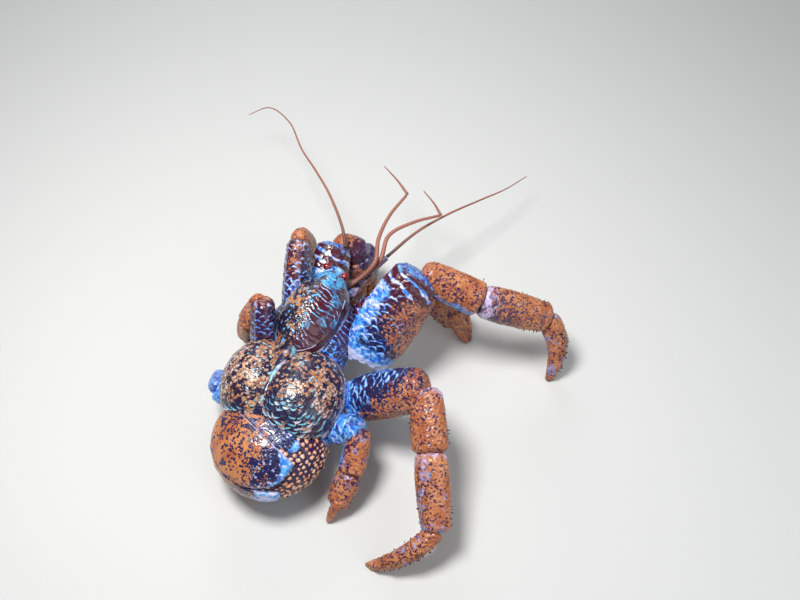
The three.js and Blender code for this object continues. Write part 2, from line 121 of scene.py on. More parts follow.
# How each segment is coloured and dressed. The numbers are: at its root, at its end and, where
# there are more, what is added towards its outer edge and at its middle.
# Flood is the blue all over, blots are grey-blue patches, collar is the pale ring at the root,
# edges the ochre along both edges, inner the light blue along the inner edge, and bands is where
# the maroon bands of the end start.
PLAIN_LOOK = dict(
    ochre=(0.75, 0.85, 0.1), azure=(0.1, 0.1), wine=(0.5, 0.5), pale=(0.1, 0.05), scales=0.25,
    grains=0.5, specks=0.22, flood=0, blots=0, collar=0, edges=0, inner=0, bands=None, spines=0,
)
LOOKS = {
    "leg2_right_merus": dict(
        ochre=(-0.2, 0.65, 0.6, 0.5), azure=(1.1, 0.6, -0.5, -0.1), wine=(-0.2, 0.9, -0.1),
        pale=(0.35, 0.6, -0.2), scales=0.7, specks=0.45, inner=0.8, bands=0.76,
    ),
    "leg3_right_merus": dict(
        ochre=(-0.35, 0.85, 0.5, 0.1), azure=(1.1, 0.3, -0.35), wine=(0.0, 0.4),
        pale=(0.5, 0.3, -0.1), scales=0.7, specks=0.4,
    ),
    "leg4_right_merus": dict(
        ochre=(-0.2, 0.0, 0.1), azure=(1.2, 1.0), wine=(0.0, 0.3), pale=(0.6, 0.5), scales=0.6,
        flood=0.42,
    ),
    "leg2_left_merus": dict(
        ochre=(-0.35, 0.35, 0.1), azure=(1.2, 0.4, -0.2), wine=(0.1, 0.8), pale=(0.4, 0.6),
        scales=0.7, edges=0.45,
    ),
    "leg3_left_merus": dict(
        ochre=(0.0, 0.55, 0.4), azure=(0.9, 0.3, -0.2), pale=(0.3, 0.4), scales=0.6, edges=0.3,
    ),
    "leg4_left_merus": dict(
        ochre=(-0.2, 0.2, 0.1), azure=(1.2, 0.8), pale=(0.4, 0.3), scales=0.5, flood=0.6,
    ),
    "claw_left_arm": dict(
        ochre=(0.2, 0.1, 0.3), azure=(0.8, 0.6, -0.2), wine=(0.6, 1.2), pale=(0.3, 0.5),
        scales=0.6, inner=0.8, bands=0.5,
    ),
    "claw_right_arm": dict(
        ochre=(0.0, 0.35, 0.4), azure=(0.8, 0.35, -0.2), wine=(0.6, 1.0), pale=(0.3, 0.4),
        scales=0.7,
    ),
    "claw_left_wrist": dict(
        ochre=(0.8, -0.1, 0.2), azure=(0.3, 0.3), wine=(0.9, 0.4), pale=(0.3, 0.3), scales=0.3,
    ),
    "claw_left_palm": dict(
        ochre=(0.1, 0.6, 0.45), wine=(0.3, 0.5), pale=(0.4, 0.2), flood=0.25, scales=0.3,
    ),
    "claw_right_palm": dict(ochre=(0.6, 0.85, 0.3), scales=0.4, spines=24),
    "leg2_right_carpus": dict(ochre=(0.8, 0.65, 0.15), specks=0.3, blots=0.4, inner=0.8),
    "leg2_right_propodus": dict(
        ochre=(0.35, 1.0, 0.1), azure=(0.5, 0.1), pale=(1.0, -0.4), specks=0.3, blots=0.5,
        collar=0.75, spines=26,
    ),
    "leg2_right_dactyl": dict(ochre=(0.85, 1.0), blots=0.9, spines=90),
    "leg3_right_carpus": dict(
        ochre=(0.5, 0.9, 0.1), azure=(0.5, 0.1), pale=(0.8, -0.1), collar=0.5, spines=20,
    ),
    "leg3_right_propodus": dict(
        ochre=(0.75, 0.65, 0.1), azure=(0.2, 0.9), pale=(0.4, 0.2), blots=0.8, collar=0.5,
        spines=26,
    ),
    "leg3_right_dactyl": dict(ochre=(0.85, 1.0), blots=0.9, spines=100),
    "leg2_left_dactyl": dict(ochre=(0.85, 1.0), spines=36),
    "leg3_left_dactyl": dict(ochre=(0.85, 1.0), spines=40),
    "leg4_right_carpus": dict(
        ochre=(0.55, 0.65, 0.2), azure=(0.6, 0.6, -0.3), pale=(0.2, 0.2), blots=0.9, inner=0.6,
    ),
    "leg4_right_palm": dict(
        ochre=(0.5, 0.95, 0.1), azure=(0.8, 0.1, -0.3), pale=(0.4, 0.0), blots=0.7, spines=16,
    ),
    "leg4_left_carpus": dict(ochre=(-0.1, 0.3), azure=(1.2, 0.9), flood=0.6),
}
# Where the horny tip of an end segment starts, as a share of its length.
HORN_TIPS = {"dactyl": 0.9, "finger": 0.72}
# A segment thinner than this gets a finer mesh.
SMALL_THICKNESS = 6
# The rim of a segment's end and the pinch of its root, as shares of its thickness.
END_RIM, ROOT_PINCH = 0.04, 0.06
BAND_PITCH = 7

# The points that each feeler runs through.
FEELERS = {
    "antennule_right_stalk": (
        (7, -66, 46), (0, -77, 49), (-7, -88, 60), (-1, -103, 65), (2, -122, 67), (2, -145, 66),
    ),
    "antennule_left_stalk": (
        (10, -68, 45), (0, -82, 46), (-8, -93, 58), (-5, -109, 64), (-12, -127, 63),
        (-24, -145, 60),
    ),
    "antennule_right_flagellum": ((2, -146, 66), (16, -157, 62), (34, -169, 57)),
    "antennule_left_flagellum": ((-24.3, -145.4, 60), (-14, -155, 57), (0, -166, 52)),
    "antenna_right_whip": (
        (-8, -101.5, 52.2), (-15, -126, 55), (-24, -153, 52), (-36, -186, 44), (-44, -210, 37),
        (-50, -237, 30),
    ),
    "antenna_left_whip": (
        (16.9, -90.5, 58.4), (24, -99, 64), (47, -119, 66), (70, -136, 63), (92, -151, 60),
        (123, -177, 54), (150, -187, 48), (163, -178, 42),
    ),
}

# Each kind of feeler: its radius at its root and tip, and the length of one ring.
FEELER_KINDS = {
    "stalk": ((1.9, 1.0), 2.6),
    "flagellum": ((1.1, 0.35), 0.9),
    "whip": ((1.2, 0.3), 1.3),
}
# How a feeler is made: the places at which its length is measured, the points in one ring, how
# much it narrows between rings and at its rounded ends, and how far along the feeler's colours a
# flagellum starts.
FEELER = {
    "stations": 60,
    "points per ring": 4,
    "pinch": 0.86,
    "rounding": 0.55,
    "flagellum start": 0.4,
}
MOUTH_PARTS = ("antenna_right_base", "antenna_left_base", "maxilliped_right", "maxilliped_left")

# Each kind of skin: the size of its mesh's cells, how often it is smoothed, and how far it stands
# off its solid.
SKINS = {
    "shield": (0.5, 40, 0.25),
    "gill dome": (0.55, 40, 0.25),
    "heart strip": (0.45, 20, 0.2),
    "cheek": (0.5, 30, 0.2),
    "belly plate": (0.5, 26, 0.2),
    "belly": (0.7, 30, 0.3),
    "segment": (0.6, 26, 0.3),
    "small segment": (0.45, 14, 0.3),
    "mouth part": (0.45, 14, 0.2),
    "eye": (0.22, 30, 0.25),
    "eyestalk": (0.3, 12, 0.15),
}
# How far apart granules lie, and how far apart wrinkles lie.
GRANULES = {
    "shield": 1.7,
    "gill dome": 1.6,
    "heart strip": 1.6,
    "belly plate": 1.3,
    "segment": 1.7,
    "mouth part": 1.5,
}
WRINKLE_PITCH = {"shield": 3.2, "shield rim": 1.9, "cheek": 4.2, "belly plate": 2.6}
# Rows of scales: how far apart the rows lie, how wide a scale is and, on a dome, how far its free
# edge bows out.
SCALES = {"thigh": (2.7, 7.0), "limb": (1.6, 4.6)}
DOME_SCALES = (1.7, 10.5, 1.3)
# How high each kind of relief stands.
RELIEF = {
    "shield wrinkle": 0.55,
    "front wrinkle": 0.3,
    "shield granule": 0.6,
    "dome scale": 0.6,
    "dome granule": 0.42,
    "heart strip granule": 0.12,
    "cheek wrinkle": 0.45,
    "cheek net": 0.4,
    "plate granule": 0.26,
    "wart": 0.9,
    "belly crease": 0.15,
    "mouth granule": 0.3,
}
# How steeply a scale and a wrinkle rise, and the part of the rise that counts as its bright edge.
SCALE_RISE, SCALE_EDGE = 1.4, (0.74, 0.9)
WRINKLE_RISE, WRINKLE_CREST = 1.3, (0.78, 0.92)
# A horny spine's length on small and large segments, and as shares of that length: how much it
# varies, its radius at the foot and tip, its depth and how far out its middle is. Last, its mark.
SPINE = {
    "small": 1.4,
    "large": 1.6,
    "spread": (0.7, 1.25),
    "foot": 0.34,
    "tip": 0.04,
    "depth": 1.1,
    "middle": 0.28,
    "horn": 0.85,
}

# What the mesh tells the shell's material at each point, each from 0 to 1. Raised is 0 in grooves,
# where the material paints shade.
MARKS = ("ochre", "azure", "pale", "wine", "horn", "raised")
# Whole numbers that scatter a place's own number well.
PLACE_FACTORS = (73856093, 19349663, 83492791, 2654435)
MIXING_FACTORS = (1274126177, 668265263)

SHELL_COLOURS = ("Ground", "Wine", "Ochre", "Tan", "Azure", "Cyan", "Pale", "Horn")
HORN = "34190f"
# Each shell finish: its name, its colours but for the horn and, where they differ from most, how
# dull its ochre is and how wet it looks.
SHELLS = {
    "shield": ("carapace shell", "14122e 480a20 a8602f c69266 2478c4 56b8e2 ccd2f2"),
    "dome": ("gill dome shell", "1c1640 341432 ae6a3a cfa27c 3c98bc 92d2dc e0d2e2"),
    "cheek": ("cheek shell", "0e1448 3a0828 a05a30 c08e70 1e58dc 4c9ef4 aec2f6"),
    "belly": ("soft belly skin", "220c46 360e3e dd9060 f3c4a2 2a78dc 6cc4ec dce6f4", 0.1, 0.35),
    "tergite": ("belly plates", "171548 360e34 ad5c28 c98048 2470dc 5cb6f2 c2c4ee"),
    "thigh": ("thigh shell", "181048 4a0a22 a5542c bd7a52 1c58d6 5cb2f2 c8d0f6"),
    "limb": ("limb shell", "3a1c48 50203c aa5a2a c98250 3c62c0 7ea4d6 ccbce0", 0.3, 0.4),
}
# Features per metre in the shell's own textures.
TEXTURE_SCALES = {"broad": 110, "middling": 420, "fine": 1300, "pores": 1100}
SPECKLE = 0.5
SHELL_ROUGHNESS = 0.2
# Painted shade: the tint that darkens the shell in its grooves.
GROOVE_SHADE_TINT = (0.42, 0.38, 0.5, 1)
# The strength of a bump and its depth in metres.
SHELL_BUMP = (0.45, 0.0004)
SMOOTH_BUMP = (0.25, 0.0002)

# The floor, the sky and the point that the lamps aim at, in metres.
FLOOR = {"half": 4, "colour": (0.62, 0.62, 0.6, 1), "roughness": 0.85}
SKY = {"colour": (0.8, 0.85, 0.9, 1), "strength": 0.25}
LIT_POINT = (-0.02, 0.02, 0.03)

# The camera stands where the photograph's did, in metres, and looks down from behind the crab.
CAMERA = {
    "at": (-0.1905, 0.2573, 0.4498),
    "right": (-0.866, -0.5, 0.0),
    "up": (0.4045, -0.7006, 0.5878),
    "lens": 35,
    "sensor": 36,
}

scene = bpy.context.scene


# Patterns


def smooth(low, high, value):
    """From 0 below low to 1 above high, with soft ends."""
    share = np.clip((value - low) / (high - low), 0, 1)
    return share * share * (3 - 2 * share)


def chance(i, j, k, salt):
    """A steady number from 0 to 1 for each whole-numbered place."""
    mixed = 0
    for value, factor in zip((i, j, k, salt), PLACE_FACTORS):
        mixed = mixed ^ (value * factor)
    for factor in MIXING_FACTORS:
        mixed = ((mixed ^ (mixed >> 13)) * factor) & 0x7FFFFFFF
    return ((mixed ^ (mixed >> 15)) & 0xFFFF) / 0xFFFF


def drift(points, size, salt=0):
    """Smooth noise from 0 to 1, with features of that size."""
    place = points / size
    cell = np.floor(place).astype(np.int64)
    part = place - cell
    part = part * part * (3 - 2 * part)
    total = np.zeros(len(points))
    for corner in itertools.product((0, 1), repeat=3):
        weight = np.prod(np.where(corner, part, 1 - part), axis=1)
        total += weight * chance(*(cell + corner).T, salt)
    return total


def waver(points, *layers):
    """Smooth noise round 0 in layers, each with its reach, its features' size and a salt."""
    return sum(reach * (drift(points, size, salt) - 0.5) for reach, size, salt in layers)


def mottling(points, *layers):
    """Smooth noise from 0 up in layers, each with its weight, its features' size and a salt."""
    return sum(weight * drift(points, size, salt) for weight, size, salt in layers)


def clouds(points, size, salt, low, high):
    """Soft-edged patches: 0 where smooth noise is below low, and 1 where it is above high."""
    return smooth(low, high, drift(points, size, salt))


def pebbles(points, size, salt=0):
    """How far each point is from the nearest pebble's middle and from the next one's, as shares
    of the size, and the nearest pebble's own number from 0 to 1."""
    place = points / size
    cell = np.floor(place).astype(np.int64)
    near, after, own = (np.full(len(points), 9.0) for _ in range(3))
    for offset in itertools.product((-1, 0, 1), repeat=3):
        c = (cell + offset).T
        jitter = np.stack([chance(*c, salt + s) for s in (1, 2, 3)], axis=1)
        apart = np.linalg.norm(place - (c.T + 0.1 + 0.8 * jitter), axis=1)
        closer = apart < near
        after = np.where(closer, near, np.minimum(after, apart))
        own = np.where(closer, chance(*c, salt + 4), own)
        near = np.where(closer, apart, near)
    return near, after, own


def specks(points, size, salt, amount, apart):
    """Small specks that stay apart, on the share of the pebbles that the amount says."""
    near, after, own = pebbles(points, size, salt)
    return smooth(0.05, 0.0, own - amount) * smooth(0.02, apart, after - near)


def scale_rows(along, across, pitch, width, bow):
    """Overlapping scales in rows: how high each point stands, how near it is to its scale's free
    edge, and its scale's own number, each from 0 to 1."""
    high, edge, own = (np.zeros(len(along)) for _ in range(3))
    for odd in (0, 1):
        column = across / width + 0.5 * odd
        v = column - np.floor(column) - 0.5
        taper = 1 - np.abs(2 * v) ** 3
        row = (along - bow * (1 - 4 * v * v)) / (2 * pitch) + 0.5 * odd
        u = row - np.floor(row)
        rise = taper * u**SCALE_RISE
        taller = rise > high
        edge = np.where(taller, taper * smooth(*SCALE_EDGE, u), edge)
        i, j = np.floor(row).astype(np.int64), np.floor(column).astype(np.int64)
        own = np.where(taller, chance(i, j, odd, 5), own)
        high = np.maximum(high, rise)
    return high, edge, own


def wrinkles(along, pitch):
    """Soft ridges across a surface: how high each point stands, and how near it is to a crest."""
    wave = along / pitch
    u = wave - np.floor(wave)
    return u**WRINKLE_RISE, smooth(*WRINKLE_CREST, u)


# Skins


def linked(name, data):
    """An object with that data, in the scene."""
    thing = bpy.data.objects.new(name, data)
    scene.collection.objects.link(thing)
    return thing


def vectors(items, name):
    """The vectors of a mesh's vertices, one in each row."""
    flat = np.empty(len(items) * 3, np.float32)
    items.foreach_get(name, flat)
    return flat.reshape(-1, 3)


def write_mark(mesh, mark, values):
    """Gives each vertex of a mesh its own value of a mark."""
    attribute = mesh.attributes.new(mark, "FLOAT", "POINT")
    attribute.data.foreach_set("value", values.astype(np.float32))


def hand_over(piece, nodes, slot):
    """Gives a piece its finish, hangs it on the root body and hides the solids it stands for."""
    piece.data.materials.clear()
    piece.data.materials.append(FINISH[slot])
    piece.data.shade_smooth()
    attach(piece, "root")
    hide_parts(*nodes)


class Skin:
    """A fine mesh over the solids of some nodes, with its points in millimetres."""

    def __init__(self, name, nodes, kind):
        cell, softness, swell = SKINS[kind]
        bm = bmesh.new()
        for node in nodes:
            bm.from_mesh(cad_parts[node].data)
        bmesh.ops.remove_doubles(bm, verts=bm.verts, dist=0.01 * MM)
        mesh = bpy.data.meshes.new(name)
        bm.to_mesh(mesh)
        bm.free()
        self.nodes = nodes
        self.piece = linked(name, mesh)
        remesh = self.piece.modifiers.new("even mesh", "REMESH")
        remesh.mode = "VOXEL"
        remesh.voxel_size = cell * MM
        soften = self.piece.modifiers.new("soften", "SMOOTH")
        soften.factor = 0.5
        soften.iterations = softness
        graph = bpy.context.evaluated_depsgraph_get()
        self.piece.data = bpy.data.meshes.new_from_object(self.piece.evaluated_get(graph))
        self.piece.data.name = name
        self.piece.modifiers.clear()
        self.read()
        self.push(np.full(len(self.points), swell))

    def read(self):
        """Takes the points and normals from the mesh."""
        mesh = self.piece.data
        self.points = vectors(mesh.vertices, "co").astype(float) / MM
        self.normals = vectors(mesh.vertex_normals, "vector").astype(float)

    def push(self, height):
        """Moves each point out by its own height, and none of them down through the floor."""
        points = (self.points + self.normals * height[:, None]) * MM
        floor = np.minimum(self.points[:, 2] * MM, 0)
        points[:, 2] = np.maximum(points[:, 2], floor)
        self.piece.data.vertices.foreach_set("co", points.astype(np.float32).ravel())
        self.piece.data.update()
        self.read()

    def finish(self, slot, **marks):
        """Writes the marks, each 0 where none is given, and hands the piece over."""
        for mark in MARKS:
            values = np.full(len(self.points), np.clip(marks.get(mark, 0), 0, 1))
            write_mark(self.piece.data, mark, values)
        hand_over(self.piece, self.nodes, slot)


def granules(skin, kind, salt):
    """Rounded grains over a skin: their height from 0 to 1, their gaps and their own number."""
    near, after, own = pebbles(skin.points, GRANULES[kind], salt)
    dome = np.clip(1 - (near / 0.62) ** 2, 0, 1)
    gap = 1 - smooth(0.04, 0.24, after - near)
    return dome * (0.6 + 0.4 * own), gap, own


def spines(skin, count, size, where, seed):
    """Small horny cones on a finished skin, where the mask is high."""
    chooser = np.random.default_rng(seed)
    chosen = chooser.choice(len(where), count, replace=False, p=where / where.sum())
    bm = bmesh.new()
    bm.from_mesh(skin.piece.data)
    horn = bm.verts.layers.float["horn"]
    raised = bm.verts.layers.float["raised"]
    for index in chosen:
        length = size * chooser.uniform(*SPINE["spread"])
        direction = Vector(skin.normals[index])
        turn = direction.to_track_quat("Z", "Y").to_matrix().to_4x4()
        root = Vector((skin.points[index] + skin.normals[index] * SPINE["middle"] * length) * MM)
        cone = bmesh.ops.create_cone(
            bm,
            cap_ends=True,
            segments=6,
            radius1=SPINE["foot"] * length * MM,
            radius2=SPINE["tip"] * length * MM,
            depth=SPINE["depth"] * length * MM,
            matrix=Matrix.Translation(root) @ turn,
        )
        for vert in cone["verts"]:
            vert[horn] = SPINE["horn"]
            vert[raised] = 1.0
    bm.to_mesh(skin.piece.data)
    bm.free()
    skin.piece.data.shade_smooth()


# Finishes


def colour(code):
    """A linear colour from its six-figure code."""
    parts = [int(code[i : i + 2], 16) / 255 for i in (0, 2, 4)]
    linear = [c / 12.92 if c <= 0.04045 else ((c + 0.055) / 1.055) ** 2.4 for c in parts]
    return (*linear, 1)


def connect(tree, socket, value):
    """Sets a socket to a value, or links it to another node's output."""
    if isinstance(value, bpy.types.NodeSocket):
        tree.links.new(value, socket)
    else:
        socket.default_value = value


def add(tree, kind, inputs=(), **settings):
    """A node with its settings, and its inputs set to values or linked to other nodes' outputs."""
    node = tree.nodes.new(kind)
    for setting, value in settings.items():
        setattr(node, setting, value)
    for key, value in dict(inputs).items():
        connect(tree, node.inputs[key], value)
    return node


def blend(tree, share, below, above, kind="MIX"):
    """The colour that lies between two others, by a share."""
    colours = {0: share, 6: below, 7: above}
    return add(tree, "ShaderNodeMix", colours, data_type="RGBA", blend_type=kind).outputs[2]


def number(tree, operation, *values):
    """One step of arithmetic on values or sockets."""
    return add(tree, "ShaderNodeMath", dict(enumerate(values)), operation=operation).outputs[0]


def shell_group():
    """The colour, roughness and fine relief of crab shell, from the marks on the mesh, with painted
    shade in its grooves.
    """
    tree = bpy.data.node_groups.new("shell_surface", "ShaderNodeTree")
    sockets = (
        ("INPUT", "Color", SHELL_COLOURS),
        ("INPUT", "Float", ("Speckle", "Dryness")),
        ("OUTPUT", "Color", ("Colour",)),
        ("OUTPUT", "Float", ("Roughness", "Relief")),
    )
    for way, kind, names in sockets:
        for name in names:
            tree.interface.new_socket(name, in_out=way, socket_type=f"NodeSocket{kind}")
    given = tree.nodes.new("NodeGroupInput").outputs
    result = tree.nodes.new("NodeGroupOutput").inputs

    place = add(tree, "ShaderNodeTexCoord").outputs["Object"]
    mark = {
        name: add(tree, "ShaderNodeAttribute", attribute_name=name).outputs["Fac"] for name in MARKS
    }

    def noise(kind, detail, w):
        settings = {"Scale": TEXTURE_SCALES[kind], "Detail": detail, "Vector": place, "W": w}
        return add(tree, "ShaderNodeTexNoise", settings, noise_dimensions="4D").outputs["Fac"]

    def step(value, low, high):
        settings = {"Value": value, "From Min": low, "From Max": high}
        kind = "SMOOTHSTEP"
        return add(tree, "ShaderNodeMapRange", settings, interpolation_type=kind).outputs["Result"]

    def scaled(value, factor):
        return number(tree, "MULTIPLY", value, factor)

    def broken(value, texture, strength):
        """A mark with its edges broken up by a noise."""
        wander = scaled(number(tree, "SUBTRACT", texture, 0.5), strength)
        return number(tree, "ADD", value, wander)

    broad, middling, fine = noise("broad", 3, 1), noise("middling", 3, 2), noise("fine", 2, 3)
    cells = {"Scale": TEXTURE_SCALES["pores"], "Vector": place}
    pores = add(tree, "ShaderNodeTexVoronoi", cells).outputs["Distance"]

    wine_share = step(broken(mark["wine"], middling, 0.8), 0.25, 0.75)
    ground = blend(tree, wine_share, given["Ground"], given["Wine"])
    ochre = blend(tree, step(broad, 0.35, 0.65), given["Ochre"], given["Tan"])
    ochre = blend(tree, scaled(step(fine, 0.6, 0.85), 0.22), ochre, given["Pale"])
    ochre = blend(tree, scaled(step(fine, 0.5, 0.25), 0.5), ochre, given["Wine"])
    blue = blend(tree, step(middling, 0.35, 0.65), given["Azure"], given["Cyan"])
    ochre_share = step(broken(mark["ochre"], fine, given["Speckle"]), 0.38, 0.62)
    shown = blend(tree, ochre_share, ground, ochre)
    shown = blend(tree, step(broken(mark["azure"], middling, 0.5), 0.2, 0.75), shown, blue)
    shown = blend(tree, step(broken(mark["pale"], middling, 0.5), 0.2, 0.8), shown, given["Pale"])
    shown = blend(tree, mark["horn"], shown, given["Horn"])
    # Painted shade: where the mesh is not raised, the colour is multiplied by a darker tint.
    painted_groove_shade = blend(tree, step(mark["raised"], 0.0, 0.45), GROOVE_SHADE_TINT, (1, 1, 1, 1))
    tree.links.new(blend(tree, 1.0, shown, painted_groove_shade, "MULTIPLY"), result["Colour"])

    dull = number(tree, "ADD", SHELL_ROUGHNESS, scaled(ochre_share, given["Dryness"]))
    tree.links.new(number(tree, "ADD", dull, scaled(middling, 0.16)), result["Roughness"])
    tree.links.new(number(tree, "SUBTRACT", scaled(fine, 0.6), pores), result["Relief"])
    return tree


def new_material(name):
    """A material, its node tree and its shader."""
    material = bpy.data.materials.new(name)
    material.use_nodes = True
    return material, material.node_tree, material.node_tree.nodes["Principled BSDF"]


def surface(tree, shader, shown, roughness, relief, bump):
    """Links a shader's colour and roughness, and its normal to a relief of that strength and
    depth in metres."""
    strength, depth = bump
    heights = {"Height": relief, "Strength": strength, "Distance": depth}
    tree.links.new(shown, shader.inputs["Base Color"])
    tree.links.new(roughness, shader.inputs["Roughness"])
    tree.links.new(add(tree, "ShaderNodeBump", heights).outputs["Normal"], shader.inputs["Normal"])


def shell_material(name, codes, dryness=0.22, wet=0.6):
    """A shell finish, from its colour codes in the order of SHELL_COLOURS."""
    material, tree, shader = new_material(name)
    shell = add(tree, "ShaderNodeGroup", node_tree=SHELL)
    for socket, code in zip(SHELL_COLOURS, [*codes.split(), HORN], strict=True):
        shell.inputs[socket].default_value = colour(code)
    shell.inputs["Speckle"].default_value = SPECKLE
    shell.inputs["Dryness"].default_value = dryness
    made = shell.outputs
    surface(tree, shader, made["Colour"], made["Roughness"], made["Relief"], SHELL_BUMP)
    shader.inputs["Coat Weight"].default_value = wet
    shader.inputs["Coat Roughness"].default_value = 0.12
    shader.inputs["IOR"].default_value = 1.5
    return material


def simple_material(name, base, second, scale, roughness, wet, mark=None):
    """A finish that mixes two colours by noise, or by a mark on the mesh, with a fine grain."""
    material, tree, shader = new_material(name)
    place = add(tree, "ShaderNodeTexCoord").outputs["Object"]
    settings = {"Scale": scale, "Detail": 4, "Vector": place}
    grain = add(tree, "ShaderNodeTexNoise", settings).outputs["Fac"]
    share = grain
    if mark:
        along = add(tree, "ShaderNodeAttribute", attribute_name=mark).outputs["Fac"]
        share = number(tree, "MULTIPLY_ADD", along, 3.0, number(tree, "MULTIPLY", grain, 0.35))
    shown = blend(tree, share, colour(base), colour(second))
    rough = number(tree, "ADD", roughness - 0.05, number(tree, "MULTIPLY", share, 0.1))
    surface(tree, shader, shown, rough, grain, SMOOTH_BUMP)
    shader.inputs["Coat Weight"].default_value = wet
    shader.inputs["Coat Roughness"].default_value = 0.06
    return material


SHELL = shell_group()
FINISH = {slot: shell_material(*row) for slot, row in SHELLS.items()}
FINISH["eye"] = simple_material("wet eye", "a00a16", "5c0410", 500, 0.12, 1.0)
FINISH["stalk"] = simple_material("eye stalk skin", "5c9fe0", "a9d2f0", 420, 0.35, 0.4)
# The first, dark colour at a feeler's root is partly its own, partly painted shadow.
FINISH["feeler"] = simple_material("feeler", "2e2630", "9c6252", 700, 0.45, 0.2, mark="along")


# Places on the crab


def placed(points):
    """Places in the part's own frame."""
    return np.array(points, float) + SHIFT


def carapace_axes():
    """The carapace's own axes, from how it is turned."""
    angles = (-CARAPACE["pitch"], CARAPACE["roll"], CARAPACE["yaw"])
    return np.array(Euler([math.radians(angle) for angle in angles], "XYZ").to_matrix())


def on_carapace(points):
    """Places in the carapace's own frame: across to the crab's left, back, and up."""
    return (points - placed(CARAPACE["origin"])) @ carapace_axes()


def around_belly(points):
    """Places round the belly's middle, with its turn taken out."""
    turn = math.radians(BELLY["turn"])
    axes = np.array(Matrix.Rotation(turn, 3, "Z"))
    return (points - placed(BELLY["at"])) @ axes


def unit(v):
    return v / np.linalg.norm(v)


# Plates


def dress_shield():
    """Maroon with light-blue wrinkles on its right, ochre granules on its left, a blue front."""
    skin = Skin("shield_shell", ["shield"], "shield")
    x, y, _ = on_carapace(skin.points).T
    half_width, half_length = SHIELD["half"]
    out = np.hypot(x / half_width, (y - SHIELD["back"]) / half_length)
    warp = waver(skin.points, (5, 9, 0), (2.5, 3.5, 2))
    front = smooth(-40, -50, y + 1.5 * warp + 0.02 * x * x)
    right = smooth(1.5, -3.5, x + 0.8 * warp)
    grainy = (1 - right) * (1 - front)
    grain, gap, own = granules(skin, "shield", 3)
    bowed = y + 0.35 * x + 0.03 * (x + 6) ** 2 + 1.3 * warp
    ridge, crest = wrinkles(bowed, WRINKLE_PITCH["shield"])
    rim_ridge, rim_crest = wrinkles(out * half_width + 0.25 * warp, WRINKLE_PITCH["shield rim"])
    near_rim = right * smooth(0.76, 0.86, out)
    ridge += (rim_ridge - ridge) * near_rim
    crest += (rim_crest - crest) * near_rim
    broken = clouds(skin.points * (0.5, 1.6, 1), 5, 7, 0.3, 0.5)
    skin.push(
        RELIEF["shield wrinkle"] * ridge * right * (1 - 0.3 * front)
        + RELIEF["shield granule"] * grain * grainy
        + RELIEF["front wrinkle"] * ridge * front
    )
    patch = drift(skin.points, 8, 11)
    flecks = drift(skin.points, 2.2, 12)
    mixed = 0.4 * own + 0.4 * patch + 0.35 * flecks - 0.13
    ochre = grainy * smooth(0.4, 0.56, mixed) * (1 - 0.6 * gap)
    wine = 0.35 + 0.65 * right - 0.4 * smooth(-30, 5, y) * (1 - right)
    dots = grainy * (own > 0.82) * (1 - gap)
    tint = 0.42 * right * clouds(skin.points, 6, 23, 0.45, 0.7)
    dark_fold = front * clouds(skin.points * (1, 0.5, 1), 2.6, 17, 0.62, 0.8)
    azure = np.clip(0.95 * crest * right * broken + dots + 0.8 * front + tint, 0, 1)
    azure *= 1 - dark_fold
    azure = np.maximum(azure, smooth(0.9, 0.97, out) * 0.7)
    pale = 0.9 * crest * right * broken * smooth(0.3, 0.6, patch)
    pale += 0.8 * smooth(0.93, 0.97, out) + 0.25 * front * crest
    raised = np.maximum(grain * grainy, np.maximum(ridge * right, 0.4 + 0.6 * front))
    skin.finish("shield", ochre=ochre, wine=wine, azure=azure, pale=pale, raised=raised)


def dress_dome(side):
    """Dark shell with ochre granules, rows of scales with light edges towards its rear, and a
    painted pale sheen towards its outer side.
    """
    half_width, half_length = DOME[side]["half"]
    skin = Skin(f"gill_dome_{side}_shell", [f"gill_dome_{side}"], "gill dome")
    x, y, z = on_carapace(skin.points).T
    x, y = x - DOME[side]["across"], y - DOME_BACK
    outward = -x if side == "right" else x
    ahead = y / half_length
    out = np.sqrt((x / half_width) ** 2 + ahead**2)
    warp = waver(skin.points, (6, 10, 1), (2, 3, 2))
    # Scales cover the rear half of the right dome, but only the rear rim of the left.
    rear = smooth(0.12, 0.55, ahead + 0.03 * warp) if side == "right" else smooth(0.6, 0.9, ahead)
    grain, gap, own = granules(skin, "gill dome", 9)
    around = np.arctan2(x, y) * half_length
    along = out * half_length + 0.5 * warp
    ridge, crest, scale = scale_rows(along, around + warp, *DOME_SCALES)
    crest = np.maximum(crest, 0.75 * smooth(0.5, 0.8, ridge))
    light_edge = crest * rear * (0.35 + 0.65 * smooth(0.2, 0.35, scale))
    skin.push(RELIEF["dome scale"] * ridge * rear + RELIEF["dome granule"] * grain * (1 - rear))
    patch = mottling(skin.points, (0.38, 6.5, 13), (0.72, 2.0, 14))
    mottled = smooth(0.44, 0.56, patch + 0.36 * (own - 0.5))
    ochre = (1 - rear) * mottled * (1 - 0.55 * gap)
    ochre += rear * (1 - crest) * smooth(0.56, 0.68, patch) * 0.6
    wine = 0.2 + 0.4 * drift(skin.points, 12, 4)
    dots = (own > 0.9) * (1 - gap) * (1 - rear)
    azure = np.clip(light_edge + dots * 0.75, 0, 1)
    # A painted sheen: pale grains that grow towards the dome's outer side.
    painted_sheen = smooth(0.0, 0.6, outward / half_width) * (own > 0.5) * (1 - gap)
    pale = 0.7 * light_edge * smooth(0.35, 0.6, patch)
    pale += 0.6 * painted_sheen * smooth(0.45, 0.6, patch)
    rim = smooth(0.955, 0.985, out) * (outward > 0) * smooth(-10, -6, z)
    pale = np.maximum(pale, 0.8 * rim)
    raised = np.maximum(grain * (1 - rear), ridge * rear)
    skin.finish("dome", ochre=ochre, wine=wine, azure=azure, pale=pale, raised=raised)


